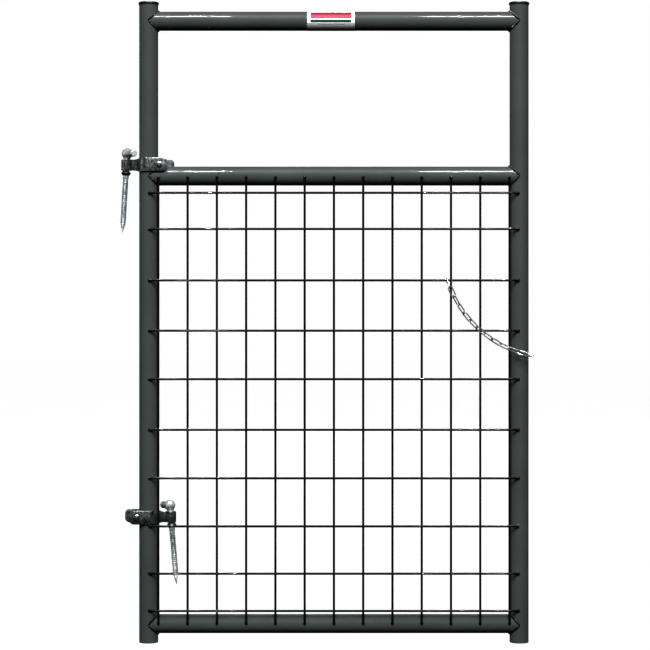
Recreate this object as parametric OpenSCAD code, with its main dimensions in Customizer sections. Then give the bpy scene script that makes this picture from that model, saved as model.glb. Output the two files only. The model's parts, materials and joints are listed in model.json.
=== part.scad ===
// Walk-through panel gate: a welded round-tube frame with an open window over a wire-mesh panel,
// two adjustable strap hinges with screw-in hinge hooks, and a latch chain.
// Units are millimetres. +X runs from the hinge stile to the latch stile, the front faces -Y, +Z is up.
// The origin is on the hinge stile's axis, level with its foot.

/* [Frame] */
// Distance between the centrelines of the two stiles
stile_spacing = 1000; // [900:10:2400]
// Length of a stile, from its foot to the underside of its cap
stile_length = 1720; // [1720:10:1900]
// Outside diameter of the frame tube
tube_od = 50.8; // [48:0.1:52]
// Wall thickness of the frame tube
tube_wall = 1.6; // [1.2:0.1:2.5]
// Height of the top rail's centreline
top_rail_z = 1676; // [1640:1:1690]
// Height of the middle rail's centreline
mid_rail_z = 1258; // [1255:1:1265]
// Height of the bottom rail's centreline
bottom_rail_z = 50; // [40:1:60]
// Diameter of the cap's flange
cap_flange_d = 54.6; // [53:0.1:60]
// Height of the cap above the end of the stile
cap_h = 6.8; // [4:0.1:10]

/* [Mesh] */
// Diameter of the mesh wire
wire_d = 5.7; // [4:0.1:6]
// How far a vertical wire stops short of each rail's centreline
bar_end_inset = 4; // [2:0.5:10]
// How far a horizontal wire stops short of each stile's centreline
row_end_inset = 3.5; // [2:0.5:10]

/* [Label] */
// Length of the label on the top rail
label_l = 128; // [60:1:200]
// Distance from the middle of the rail to the middle of the label, towards the hinge stile
label_shift = 8; // [0:1:40]
// Thickness of the label
label_t = 0.3; // [0.2:0.1:0.6]

/* [Hinge straps] */
// Thickness of the strap steel
strap_t = 4; // [3:0.1:5]
// Height of the part of the strap that wraps the stile
strap_h = 36.5; // [30:0.5:38]
// Height of the loop and of the web next to it
loop_h = 29; // [24:0.5:30]
// Distance from the stile's axis to the loop's axis
loop_reach = 60; // [58:0.5:66]
// Inside radius of the loop
loop_r = 10; // [9.5:0.1:11]
// Distance from the stile's axis to the end of the front ear
front_ear = 50; // [46:1:56]
// Distance from the stile's axis to the start of the rear ear's curled end
rear_ear = 58; // [54:1:64]
// Diameter of the clamp bolt
bolt_d = 7.94; // [7:0.02:8]
// Diameter of the clamp bolt's domed head
bolt_head_d = 18.5; // [16:0.5:20]
// Height of the lower strap's middle
lower_strap_z = 338.5; // [338:0.5:400]

/* [Hinge hooks] */
// Diameter of the hook's shank in the loop
shank_d = 15.88; // [15.84:0.02:16]
// Diameter of the screw's neck and thread ridges
screw_d = 15.7; // [14:0.1:15.8]
// Diameter of the screw between the thread ridges
root_d = 12.6; // [11:0.1:13]
// Distance between thread ridges
thread_pitch = 5.08; // [4:0.02:6.5]
// Distance from the loop's middle down to the screw's tip
shank_drop = 184; // [150:1:200]
// Length of the screw's conical point
point_l = 21; // [14:1:26]
// Diameter of the horizontal hinge pin
pin_d = 19; // [16:0.5:20]
// Length of the hinge pin from the shank's axis to its end
pin_l = 38; // [36:1:38]
// Diameter of the forged elbow
elbow_d = 29; // [27:0.5:30]
// Lean of the upper hook from vertical
upper_lean = 3.4; // [0:0.1:3.6]
// Lean of the lower hook from vertical
lower_lean = 4.8; // [0:0.1:5]
// Outside diameter of the push-on retainer
retainer_d = 26; // [22:0.5:28]
// Height of the push-on retainer
retainer_h = 12; // [8:0.5:14]

/* [Latch chain] */
// Diameter of the chain wire
link_wire_d = 3.4; // [3:0.1:3.6]
// Outside length of a link
link_l = 33.3; // [32.5:0.1:34]
// Outside width of a link
link_w = 15; // [14.6:0.1:16]
// Distance from the hinge stile's axis to the chain's first link
anchor_x = 803; // [800:0.5:804]
// Distance from the frame's middle plane forward to the chain
chain_y = 44.8; // [44.8:0.1:60]
// Slope of the first free link below the horizontal
chain_slope = 66; // [60:1:70]
// Change of slope from one link to the next
chain_turn = 5; // [3:0.5:6]

/* [Hidden] */
$fn = 48;
eps = 0.05;                        // gap between welded pieces that only touch
cope_gap = 0.3;                    // gap that the weld fills between a rail's end and its stile
body_gap = 0.3;                    // gap between pieces that move on each other
tube_r = tube_od / 2;
wire_r = wire_d / 2;

// Mesh: the vertical wires lie on the rails' fronts and the horizontal wires lie on the vertical ones
bar_count = 13;
row_heights = [1211, 1114, 976, 841, 711, 575, 445, 316, 189, 89];   // from the top wire down
bar_clear = 0.15;                                // gap between the first vertical wire and the stile
bar_y = -(tube_r + wire_r + eps);
row_y = bar_y - wire_d - eps;
bar_inset = tube_r + wire_r + bar_clear;
bar_pitch = (stile_spacing - 2 * bar_inset) / (bar_count - 1);
joggle_start = 8;                                // where a horizontal wire leaves the stile's front
joggle_end = joggle_start + 14;                  // where it lies in front of the vertical wires

// Straps
clasp_r = tube_r + body_gap;                     // inside radius of the strap round the stile
clasp_ro = clasp_r + strap_t;
loop_ro = loop_r + strap_t;
slit = 0.6;                                      // gap between the strap's two thicknesses in the web
web_y = slit / 2 + strap_t;                      // half thickness of the web
bolt_clear = 0.4;
bolt_x = clasp_r + bolt_d / 2 + bolt_clear;      // the bolt passes just beside the stile
bolt_hole_r = bolt_d / 2 + 0.25;
upper_strap_z = mid_rail_z + tube_r + bolt_d / 2 + body_gap;   // the bolt rests just over the middle rail
shoulder_r = 6;                                  // inside radius of the bend from web to clasp
shoulder_y = web_y + shoulder_r;
shoulder_x = sqrt(pow(clasp_ro + shoulder_r, 2) - pow(shoulder_y, 2));
curl_r = 7;                                      // inside radius of the rear ear's curled end
curl_angle = 55;
ear_corner_r = 13;
washer_t = 2;
washer_width = 2.6;                              // from the bolt's surface to the washer's edge
nut_h = 6.8;
nut_flats = 12.7;
head_h = 4.6;
bolt_tail = 5;

// Hooks, measured along the shank from the loop's middle
elbow_up = 31.5;
retainer_play = 1.8;                             // gap between the loop and the retainer
shank_end = 0.5;                                 // bare shank under the retainer
retainer_down = loop_h / 2 + retainer_play + retainer_h / 2;
shank_down = retainer_down + retainer_h / 2 + shank_end;   // the shank steps down to the screw here
neck_l = 8;
neck_down = shank_down + neck_l;                 // the thread starts here
thread_turns = floor((shank_drop - point_l - neck_down) / thread_pitch);
thread_end = neck_down + thread_turns * thread_pitch;
hook_angle = -55;                                // direction of the upper hinge pin in plan

// Chain
chain_r = link_wire_d / 2;
link_bend_r = (link_w - link_wire_d) / 2;
link_straight = link_l - link_w;
link_half = (link_l - link_wire_d) / 2;          // from the link's middle to the middle of its end wire
link_play = 0.25;
hinge_in = chain_r + link_play;                  // from an end wire's middle to the pivot inside it
link_pitch = 2 * (link_half - hinge_in);
link_count = 11;
anchor_row = 2;                                  // the mesh wire that the chain hangs on, the top one being 0
anchor_z = row_heights[anchor_row];
anchor_hang = wire_r + body_gap + chain_r;       // height of the anchor link's top wire over the mesh wire
anchor_slack = 0.25;                             // more room at the anchor link, where the chain turns
anchor_reach = 2 * link_half - anchor_hang - hinge_in - anchor_slack;
anchor_sink = asin((chain_y + row_y) / anchor_reach);
anchor_slope = chain_slope + 2;
end_loop_l = 36;                                 // from the end loop's pivot to where its wires cross
end_loop_r = 6.6;
tail_l = 8;                                      // length of the wire ends past the crossing
tail_spread = 5.6;                               // how far each wire end stands off the loop's middle line
tail_curve = 1.3;                                // how late the two legs close in; 1 is straight
tail_gap = 0.12;                                 // half the gap between the wires where they cross

function two_digits(i) = i < 10 ? str("0", i) : str(i);
function row_name(i) = str("mesh_row_", two_digits(i + 1));
function bar_name(i) = str("mesh_bar_", two_digits(i + 1));
function link_name(i) = str("chain_link_", two_digits(i + 1));

// Direction in the gate's plane, a number of degrees below +X
function slope_dir(a) = [cos(a), 0, -sin(a)];

// The chain's directions: the anchor link leans forward to the chain's plane, the rest lie in that plane
function link_slope(i) = chain_slope - chain_turn * (i - 1);
function link_dir(i) = i == 0
    ? cos(anchor_sink) * slope_dir(anchor_slope) - [0, sin(anchor_sink), 0]
    : slope_dir(link_slope(i));

// The pivot at the top of each link, found by walking down the chain
function link_pivot(i) = i == 0
    ? [anchor_x, row_y, anchor_z]
    : i == 1 ? link_pivot(0) + anchor_reach * link_dir(0)
    : link_pivot(i - 1) + link_pitch * link_dir(i - 1);

// Turn of each link about its own length: the anchor link stands across the mesh wire, and the links
// after it work round to lie at 45 degrees to the gate, one way and then the other
function roll_across_x(d) = atan2(sin(atan2(d[1], d[0])), -d[2] * cos(atan2(d[1], d[0])));
function link_roll(i) = i == 0 ? roll_across_x(link_dir(0)) : 90 * (i % 2) - 15 * min(i, 3);

// ---- Frame ----

module tube(length) {
    difference() {
        cylinder(r = tube_r, h = length);
        translate([0, 0, -1])
            cylinder(r = tube_r - tube_wall, h = length + 2);
    }
}

module stile(x) {
    color("#444c48")
        translate([x, 0, 0])
            tube(stile_length);
}

// A rail between the stiles, cut at each end to the stile's round face
module rail(z) {
    color("#444c48")
        difference() {
            translate([0, 0, z])
                rotate([0, 90, 0])
                    tube(stile_spacing);
            for (x = [0, stile_spacing])
                translate([x, 0, z - tube_od])
                    cylinder(r = tube_r + cope_gap, h = 2 * tube_od);
        }
}

// A push-in cap: a flange with eased edges, and a hollow stem inside the tube
module cap(x) {
    flange_r = cap_flange_d / 2;
    stem_r = tube_r - tube_wall - 0.1;
    stem_l = 24;
    stem_wall = 2;
    edge = 1.6;
    top_edge = 2.4;
    color("#2c3230")
        translate([x, 0, stile_length + eps])
            rotate_extrude()
                polygon([
                    [0, 0],
                    [stem_r - stem_wall, 0],
                    [stem_r - stem_wall, -stem_l],
                    [stem_r, -stem_l],
                    [stem_r, 0],
                    [flange_r - edge, 0],
                    [flange_r, edge],
                    [flange_r, cap_h - top_edge],
                    [flange_r - top_edge, cap_h],
                    [0, cap_h]
                ]);
}

// A thin label bent round the front of the top rail
module label() {
    label_half_angle = 98;
    color("#e4e5e4")
        translate([stile_spacing / 2 - label_shift - label_l / 2, 0, top_rail_z])
            rotate([0, 90, 0])
                rotate([0, 0, -90 - label_half_angle])
                    rotate_extrude(angle = 2 * label_half_angle)
                        translate([tube_r + eps, 0])
                            square([label_t, label_l]);
}

// ---- Mesh ----

// A round wire through a list of points, with a ball in each bend that stands just proud of the wire
module wire_run(points, r) {
    ball_proud = 0.04;
    for (i = [0 : len(points) - 2]) {
        run = points[i + 1] - points[i];
        translate(points[i])
            rotate([0, acos(run[2] / norm(run)), atan2(run[1], run[0])])
                cylinder(r = r, h = norm(run));
    }
    for (i = [1 : len(points) - 2])
        translate(points[i])
            sphere(r = r + ball_proud);
}

module mesh_bar(i) {
    color("#1d2120")
        translate([bar_inset + i * bar_pitch, bar_y, bottom_rail_z + bar_end_inset])
            cylinder(r = wire_r, h = mid_rail_z - bottom_rail_z - 2 * bar_end_inset);
}

// A horizontal wire: its ends lie on the stiles, and between them it steps over the vertical wires
module mesh_row(i) {
    z = row_heights[i];
    far = stile_spacing;
    color("#1d2120")
        wire_run([
            [row_end_inset, bar_y, z],
            [joggle_start, bar_y, z],
            [joggle_end, row_y, z],
            [far - joggle_end, row_y, z],
            [far - joggle_start, bar_y, z],
            [far - row_end_inset, bar_y, z]
        ], wire_r);
}

// ---- Hinges, modelled with the loop on -X and the ears on +X, at the height z = 0 ----

// The strap before its edges are trimmed: one strip bent round a rod, closed to a double web,
// and opened again round the stile into two ears
module strap_blank() {
    wall_mid = strap_t / 2;
    difference() {
        union() {
            translate([-loop_reach, 0, 0])
                rotate_extrude()
                    strip_section(loop_r);
            for (side = [-1, 1]) {
                web_strip(-loop_reach + loop_r + wall_mid, -clasp_r - wall_mid, side);
                shoulder(side);
            }
            rotate([0, 0, 90])
                rotate_extrude(angle = 180)
                    strip_section(clasp_r);
            translate([0, -clasp_ro, -strap_h / 2])
                cube([front_ear, strap_t, strap_h]);
            translate([0, clasp_r, -strap_h / 2])
                cube([rear_ear, strap_t, strap_h]);
            translate([rear_ear, clasp_ro + curl_r, 0])
                rotate([0, 0, -90])
                    rotate_extrude(angle = curl_angle)
                        strip_section(curl_r);
        }
        translate([-loop_reach + loop_r / 2, -slit / 2, -strap_h])
            cube([loop_reach - loop_r, slit, 2 * strap_h]);
    }
}

// The strip's section where it is bent, at its inside radius
module strip_section(r) {
    translate([r, -strap_h / 2])
        square([strap_t, strap_h]);
}

module web_strip(x0, x1, side) {
    translate([x0, side > 0 ? slit / 2 : -web_y, -strap_h / 2])
        cube([x1 - x0, strap_t, strap_h]);
}

// The bend from the web to the clasp
module shoulder(side) {
    tangent = (clasp_ro - 1) / (clasp_ro + shoulder_r);
    skim = 0.03;
    translate([0, 0, -strap_h / 2])
        linear_extrude(strap_h)
            difference() {
                polygon([
                    [-shoulder_x, side * (web_y - 1)],
                    [-shoulder_x, side * shoulder_y],
                    [-shoulder_x * tangent, side * shoulder_y * tangent],
                    [-clasp_r - 1, side * (web_y - 1)]
                ]);
                translate([-shoulder_x, side * shoulder_y])
                    circle(r = shoulder_r - skim);
            }
}

// A rectangle with rounded corners at its +X end
module ear_outline(x0, x1, h) {
    r = ear_corner_r;
    translate([x0, -h / 2])
        square([x1 - x0 - r, h]);
    translate([x0, -h / 2 + r])
        square([x1 - x0, h - 2 * r]);
    for (side = [-1, 1])
        translate([x1 - r, side * (h / 2 - r)])
            circle(r = r);
}

// The strap's outline from the front: a narrow loop and web, widening over the bend to the clasp
module strap_front() {
    taper_x0 = -clasp_ro - 8;
    taper_x1 = -clasp_r + 6;
    translate([-loop_reach - loop_ro - 1, -loop_h / 2])
        square([loop_reach, loop_h]);
    polygon([
        [taper_x0, -loop_h / 2],
        [taper_x1, -strap_h / 2],
        [0, -strap_h / 2],
        [0, strap_h / 2],
        [taper_x1, strap_h / 2],
        [taper_x0, loop_h / 2]
    ]);
}

module strap() {
    curl_end = rear_ear + (curl_r + strap_t) * sin(curl_angle) + 0.5;
    color("#9a9da0")
        difference() {
            intersection() {
                strap_blank();
                union() {
                    extrude_back(-2 * clasp_ro, 4 * clasp_ro)
                        strap_front();
                    extrude_back(-clasp_ro - 1, clasp_ro)
                        ear_outline(-1, front_ear, strap_h);
                    extrude_back(1, 3 * clasp_ro)
                        ear_outline(-1, curl_end, strap_h);
                }
            }
            translate([bolt_x, 0, 0])
                rotate([90, 0, 0])
                    cylinder(r = bolt_hole_r, h = 4 * clasp_ro, center = true);
        }
}

// Extrudes an outline drawn in X and Z towards the back, from y0 over a depth
module extrude_back(y0, depth) {
    translate([0, y0 + depth, 0])
        rotate([90, 0, 0])
            linear_extrude(depth)
                children();
}

// Carriage bolt: a domed head on the front ear, and a shank through both ears
module clamp_bolt() {
    dome_r = (pow(bolt_head_d / 2, 2) + pow(head_h, 2)) / (2 * head_h);
    shank_l = 2 * clasp_ro + washer_t + nut_h + bolt_tail;
    color("#b9bcbe")
        translate([bolt_x, -clasp_ro - eps, 0])
            rotate([90, 0, 0]) {
                intersection() {
                    translate([0, 0, head_h - dome_r])
                        sphere(r = dome_r, $fn = 64);
                    cylinder(r = bolt_head_d / 2 - 0.01, h = 2 * head_h);
                }
                translate([0, 0, -shank_l])
                    cylinder(r = bolt_d / 2, h = shank_l + 1);
            }
}

module lock_washer() {
    color("#8d9093")
        translate([bolt_x, clasp_ro + eps, 0])
            rotate([-90, 0, 0])
                difference() {
                    cylinder(r = bolt_d / 2 + washer_width, h = washer_t);
                    translate([0, 0, -1])
                        cylinder(r = bolt_d / 2 + 0.15, h = washer_t + 2);
                    translate([0, -slit / 2, -1])
                        cube([bolt_d, slit, washer_t + 2]);
                }
}

module clamp_nut() {
    corner_r = nut_flats / 2 / cos(30);
    color("#a6a9ab")
        translate([bolt_x, clasp_ro + washer_t + 2 * eps, 0])
            rotate([-90, 0, 0])
                difference() {
                    cylinder(r = corner_r, h = nut_h, $fn = 6);
                    translate([0, 0, -1])
                        cylinder(r = bolt_d / 2 + 0.05, h = nut_h + 2);
                }
}

// Screw hook: a round shank with thread ridges and a point, a forged elbow, and a level hinge pin
module hook(pin_angle) {
    shank_r = shank_d / 2;
    screw_r = screw_d / 2;
    root_r = root_d / 2;
    land = 0.5;
    flank = 0.8;
    step = 0.4;
    chamfer = 1.5;
    ridge = [for (i = [0 : thread_turns - 1]) each [
        [root_r, -neck_down - i * thread_pitch - flank],
        [screw_r, -neck_down - (i + 0.5) * thread_pitch + land / 2],
        [screw_r, -neck_down - (i + 0.5) * thread_pitch - land / 2],
        [root_r, -neck_down - (i + 1) * thread_pitch + flank]
    ]];
    color("#b4b8ba") {
        rotate_extrude()
            polygon(concat(
                [[0, elbow_up], [shank_r, elbow_up], [shank_r, -shank_down], [screw_r, -shank_down - 0.1],
                 [screw_r, -neck_down], [root_r, -neck_down - step]],
                ridge,
                [[root_r, -thread_end - step], [0, -shank_drop]]
            ));
        translate([0, 0, elbow_up])
            sphere(d = elbow_d);
        translate([0, 0, elbow_up])
            rotate([0, 90, pin_angle]) {
                cylinder(d = pin_d, h = pin_l - chamfer);
                translate([0, 0, pin_l - chamfer])
                    cylinder(d1 = pin_d, d2 = pin_d - 2 * chamfer, h = chamfer);
            }
    }
}

// Push-on retainer: a double-cone collar that grips the shank under the loop
module retainer() {
    bore_r = shank_d / 2 + 0.04;
    rim = 0.8;
    lip_r = bore_r + 1.2;
    color("#15181a")
        rotate_extrude()
            polygon([
                [bore_r, -retainer_down - retainer_h / 2],
                [lip_r, -retainer_down - retainer_h / 2],
                [retainer_d / 2, -retainer_down - rim],
                [retainer_d / 2, -retainer_down + rim],
                [lip_r, -retainer_down + retainer_h / 2],
                [bore_r, -retainer_down + retainer_h / 2]
            ]);
}

module at_upper_hinge() {
    translate([0, 0, upper_strap_z])
        children();
}

// The lower strap is the same strap turned over, so that its loop is inboard
module at_lower_hinge() {
    translate([0, 0, lower_strap_z])
        rotate([0, 180, 0])
            children();
}

module at_upper_loop() {
    translate([-loop_reach, 0, upper_strap_z])
        rotate([0, upper_lean, 0])
            children();
}

module at_lower_loop() {
    translate([loop_reach, 0, lower_strap_z])
        rotate([0, -lower_lean, 0])
            children();
}

// ---- Latch chain ----

// Lays children, drawn from the origin along +X in the XY plane, along link i from its upper pivot
module along_link(i) {
    d = link_dir(i);
    translate(link_pivot(i))
        rotate([0, asin(-d[2]), atan2(d[1], d[0])])
            rotate([link_roll(i), 0, 0])
                children();
}

// A welded oval link of round wire, centred on the origin with its length along +X
module oval_link() {
    for (side = [0, 180])
        rotate([0, 0, side]) {
            translate([link_straight / 2, 0, 0])
                rotate([0, 0, -90])
                    rotate_extrude(angle = 180, $fn = 64)
                        translate([link_bend_r, 0])
                            circle(r = chain_r, $fn = 32);
            translate([-link_straight / 2, link_bend_r, 0])
                rotate([0, 90, 0])
                    cylinder(r = chain_r, h = link_straight, $fn = 32);
        }
}

module chain_link(i) {
    start = i == 0 ? anchor_hang : hinge_in;
    color("#c3c6c8")
        along_link(i)
            translate([link_half - start, 0, 0])
                oval_link();
}

// One leg of the last piece, an open loop of the same wire whose two ends cross and spread
function end_leg(side, steps = 10) =
    let (
        bend_x = end_loop_r - hinge_in,
        tail_x = end_loop_l + tail_l,
        straight = 0.3,
        lift = chain_r + tail_gap
    )
    [for (k = [0 : steps]) let (w = max(0, (k / steps - straight) / (1 - straight))) [
        bend_x + (tail_x - bend_x) * k / steps,
        side * (end_loop_r - (end_loop_r + tail_spread) * pow(w, tail_curve)),
        side * lift * min(1, 2.5 * w)
    ]];

function end_bend(steps = 12) =
    [for (k = [1 : steps - 1]) let (a = 90 + 180 * k / steps)
        [end_loop_r * (1 + cos(a)) - hinge_in, end_loop_r * sin(a), 0]];

function reversed(list) = [for (i = [len(list) - 1 : -1 : 0]) list[i]];

// A round wire swept along a path that never runs along Z, as one closed polyhedron
module swept_wire(path, r, sides) {
    last = len(path) - 1;
    rings = [for (i = [0 : last])
        let (
            run = path[min(i + 1, last)] - path[max(i - 1, 0)],
            t = run / norm(run),
            up = [0, 0, 1] - t[2] * t,
            n = up / norm(up),
            b = cross(t, n)
        )
        for (k = [0 : sides - 1])
            path[i] + r * cos(360 * k / sides) * n + r * sin(360 * k / sides) * b];
    walls = [for (i = [0 : last - 1]) for (k = [0 : sides - 1])
        let (k1 = (k + 1) % sides)
        [i * sides + k, (i + 1) * sides + k, (i + 1) * sides + k1, i * sides + k1]];
    polyhedron(
        points = rings,
        faces = concat(
            [[for (k = [0 : sides - 1]) k]],
            walls,
            [[for (k = [sides - 1 : -1 : 0]) last * sides + k]]
        )
    );
}

module chain_end_loop() {
    color("#c3c6c8")
        along_link(link_count)
            swept_wire(concat(reversed(end_leg(1)), end_bend(), end_leg(-1)), chain_r, 12);
}

stile(0);  // hinge_stile
stile(stile_spacing);  // latch_stile
rail(top_rail_z);  // top_rail
rail(mid_rail_z);  // mid_rail
rail(bottom_rail_z);  // bottom_rail
cap(0);  // hinge_stile_cap
cap(stile_spacing);  // latch_stile_cap
label();
for (i = [0 : len(row_heights) - 1])
    mesh_row(i);
for (i = [0 : bar_count - 1])
    mesh_bar(i);
at_upper_hinge() strap();  // upper_strap
at_upper_hinge() clamp_bolt();  // upper_clamp_bolt
at_upper_hinge() lock_washer();  // upper_lock_washer
at_upper_hinge() clamp_nut();  // upper_clamp_nut
at_upper_loop() hook(hook_angle);  // upper_hook
at_upper_loop() retainer();  // upper_retainer
at_lower_hinge() strap();  // lower_strap
at_lower_hinge() clamp_bolt();  // lower_clamp_bolt
at_lower_hinge() lock_washer();  // lower_lock_washer
at_lower_hinge() clamp_nut();  // lower_clamp_nut
at_lower_loop() hook(hook_angle + 180);  // lower_hook
at_lower_loop() retainer();  // lower_retainer
for (i = [0 : link_count - 1])
    chain_link(i);
chain_end_loop();
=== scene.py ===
"""Looks for a walk-through panel gate: meshes, materials, floor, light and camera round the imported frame.

Lengths in this file are metres; MM turns millimetres into metres. +X runs from the hinge stile to the
latch stile, the front faces -Y and +Z is up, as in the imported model.
"""

import json
import math

import bpy
import numpy as np
from mathutils import Matrix, Vector, noise


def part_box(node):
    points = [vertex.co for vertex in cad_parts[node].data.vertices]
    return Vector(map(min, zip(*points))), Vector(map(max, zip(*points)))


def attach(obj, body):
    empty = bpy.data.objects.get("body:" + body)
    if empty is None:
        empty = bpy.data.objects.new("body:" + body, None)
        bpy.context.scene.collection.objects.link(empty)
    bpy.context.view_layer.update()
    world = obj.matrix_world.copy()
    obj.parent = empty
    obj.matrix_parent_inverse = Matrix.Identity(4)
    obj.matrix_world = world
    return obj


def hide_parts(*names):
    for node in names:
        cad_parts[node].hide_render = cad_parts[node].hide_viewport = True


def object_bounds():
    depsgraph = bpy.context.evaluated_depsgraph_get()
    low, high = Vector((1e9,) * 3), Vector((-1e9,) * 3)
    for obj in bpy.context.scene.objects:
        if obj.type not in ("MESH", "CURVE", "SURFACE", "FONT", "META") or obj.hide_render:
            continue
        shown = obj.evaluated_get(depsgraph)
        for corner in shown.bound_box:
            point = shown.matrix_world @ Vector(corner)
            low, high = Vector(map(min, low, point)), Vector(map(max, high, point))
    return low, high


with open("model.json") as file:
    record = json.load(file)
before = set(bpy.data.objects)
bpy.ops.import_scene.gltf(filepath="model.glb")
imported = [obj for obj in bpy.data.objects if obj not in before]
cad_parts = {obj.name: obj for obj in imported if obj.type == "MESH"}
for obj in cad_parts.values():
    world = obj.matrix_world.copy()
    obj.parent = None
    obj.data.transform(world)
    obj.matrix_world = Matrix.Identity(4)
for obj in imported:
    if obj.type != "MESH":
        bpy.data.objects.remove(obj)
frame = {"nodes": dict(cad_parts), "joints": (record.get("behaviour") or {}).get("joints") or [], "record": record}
cad_low, cad_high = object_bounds()

MM = 0.001
JOINTS = {j["name"]: j for j in frame["joints"]}
BODIES = frame["record"]["behaviour"]["bodies"]
BODY_OF = {node: body for body, nodes in BODIES.items() for node in nodes}
SLOT_OF = {row["node"]: row["material_slot"] for row in frame["record"]["subparts"]}


# ---------------------------------------------------------------- camera

EYE_DISTANCE = 5.4
EYE_HEIGHT = 0.9
VIEW_SIZE = 1.755           # how much the picture spans at the gate's middle plane
VIEW_CENTRE_X = 0.476
VIEW_CENTRE_Z = 0.856
SENSOR = 36.0


def make_camera():
    data = bpy.data.cameras.new("camera")
    data.sensor_width = SENSOR
    data.lens = SENSOR * EYE_DISTANCE / VIEW_SIZE
    data.shift_y = (VIEW_CENTRE_Z - EYE_HEIGHT) / VIEW_SIZE
    data.clip_end = 100
    camera = bpy.data.objects.new("camera", data)
    camera.location = (VIEW_CENTRE_X, -EYE_DISTANCE, EYE_HEIGHT)
    camera.rotation_euler = (math.radians(90), 0, 0)
    bpy.context.scene.collection.objects.link(camera)
    bpy.context.scene.camera = camera


make_camera()


# ---------------------------------------------------------------- node materials


class Nodes:
    """A material's node tree, with short calls for the nodes this file uses."""

    def __init__(self, name):
        self.material = bpy.data.materials.new(name)
        self.material.use_nodes = True
        self.tree = self.material.node_tree
        self.shader = self.tree.nodes["Principled BSDF"]
        self.place = self.tree.nodes.new("ShaderNodeTexCoord").outputs["Object"]

    def new(self, kind, **settings):
        node = self.tree.nodes.new(kind)
        for key, value in settings.items():
            setattr(node, key, value)
        return node

    def link(self, source, target):
        self.tree.links.new(source, target)

    def noise(self, scale, detail=3.0, roughness=0.5, stretch=None):
        node = self.new("ShaderNodeTexNoise")
        node.inputs["Scale"].default_value = scale
        node.inputs["Detail"].default_value = detail
        node.inputs["Roughness"].default_value = roughness
        self.link(self.stretched(stretch), node.inputs["Vector"])
        return node.outputs["Fac"]

    def cells(self, scale):
        node = self.new("ShaderNodeTexVoronoi")
        node.inputs["Scale"].default_value = scale
        self.link(self.place, node.inputs["Vector"])
        return node.outputs["Color"]

    def stretched(self, stretch):
        if stretch is None:
            return self.place
        node = self.new("ShaderNodeMapping")
        node.inputs["Scale"].default_value = stretch
        self.link(self.place, node.inputs["Vector"])
        return node.outputs["Vector"]

    def ramp(self, value, stops):
        """Colours or greys along value; stops are (position, colour or grey)."""
        node = self.new("ShaderNodeValToRGB")
        elements = node.color_ramp.elements
        while len(elements) < len(stops):
            elements.new(0.5)
        for element, (position, colour) in zip(elements, stops):
            element.position = position
            if isinstance(colour, (int, float)):
                colour = (colour,) * 3
            element.color = (*colour, 1)
        self.link(value, node.inputs["Fac"])
        return node.outputs["Color"]

    def mix(self, factor, first, second, blend="MIX"):
        node = self.new("ShaderNodeMix", data_type="RGBA", blend_type=blend)
        for socket, value in (("Factor", factor), ("A", first), ("B", second)):
            target = self.mix_socket(node, socket)
            if isinstance(value, bpy.types.NodeSocket):
                self.link(value, target)
            elif socket == "Factor":
                target.default_value = value
            else:
                target.default_value = (*value, 1)
        return [o for o in node.outputs if o.type == "RGBA"][0]

    @staticmethod
    def mix_socket(node, name):
        kind = "VALUE" if name == "Factor" else "RGBA"
        return [s for s in node.inputs if s.name == name and s.type == kind][0]

    def math(self, operation, first, second=0.0, third=0.0):
        node = self.new("ShaderNodeMath", operation=operation)
        for socket, value in zip(node.inputs, (first, second, third)):
            if isinstance(value, bpy.types.NodeSocket):
                self.link(value, socket)
            else:
                socket.default_value = value
        return node.outputs["Value"]

    def bump(self, height, distance, strength=1.0, onto=None):
        node = self.new("ShaderNodeBump")
        node.inputs["Strength"].default_value = strength
        node.inputs["Distance"].default_value = distance
        self.link(height, node.inputs["Height"])
        if onto is not None:
            self.link(onto, node.inputs["Normal"])
        return node.outputs["Normal"]

    def set(self, **values):
        """Sets or links the shader's sockets; underscores stand for spaces."""
        for key, value in values.items():
            socket = self.shader.inputs[key.replace("_", " ")]
            if isinstance(value, bpy.types.NodeSocket):
                self.link(value, socket)
            elif socket.type == "RGBA":
                socket.default_value = (*value, 1)
            else:
                socket.default_value = value
        return self


def powder_coat(name, dark, light, roughness, specular, coat):
    """Thick glossy paint: faint orange peel, a slight drift of tone, and fine dust in the gloss."""
    n = Nodes(name)
    drift = n.noise(7.0, 4.0)
    speck = n.noise(900.0, 2.0)
    tone = n.ramp(n.mix(0.35, drift, speck), [(0.3, dark), (0.7, light)])
    rough = n.ramp(n.noise(120.0, 5.0, 0.65), [(0.35, roughness), (0.7, roughness + 0.07)])
    peel = n.bump(n.noise(260.0, 1.5), 0.00016, 0.45)
    gloss = n.bump(n.noise(260.0, 1.5), 0.00005, 0.4)
    n.set(Base_Color=tone, Roughness=rough, Normal=peel, Coat_Normal=gloss)
    n.set(Specular_IOR_Level=specular, Coat_Weight=coat, Coat_Roughness=0.05)
    return n.material


def zinc(name, dark, light, roughness, metal, spangle, contrast, dent):
    """Zinc-plated or galvanised steel: a patchwork of crystal tones, handling marks and a satin gloss."""
    n = Nodes(name)
    patches = n.cells(spangle)
    cloud = n.noise(90.0, 6.0, 0.62)
    marks = n.noise(320.0, 3.0, 0.55, stretch=(1.0, 1.0, 0.25))
    mottle = n.mix(contrast, cloud, patches)
    middle = tuple((a + b) / 2 for a, b in zip(dark, light))
    tone = n.ramp(mottle, [(0.28, dark), (0.52, middle), (0.74, light)])
    tone = n.mix(0.35, tone, n.ramp(marks, [(0.35, 0.35), (0.6, 1.0)]), "MULTIPLY")
    rough = n.ramp(n.mix(0.5, cloud, marks), [(0.3, roughness - 0.08), (0.72, roughness + 0.16)])
    dents = n.bump(cloud, dent, 0.5)
    grain = n.bump(n.noise(1500.0, 2.0), 0.00005, 0.5, onto=dents)
    n.set(Base_Color=tone, Metallic=metal, Roughness=rough, Normal=grain)
    return n.material


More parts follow.
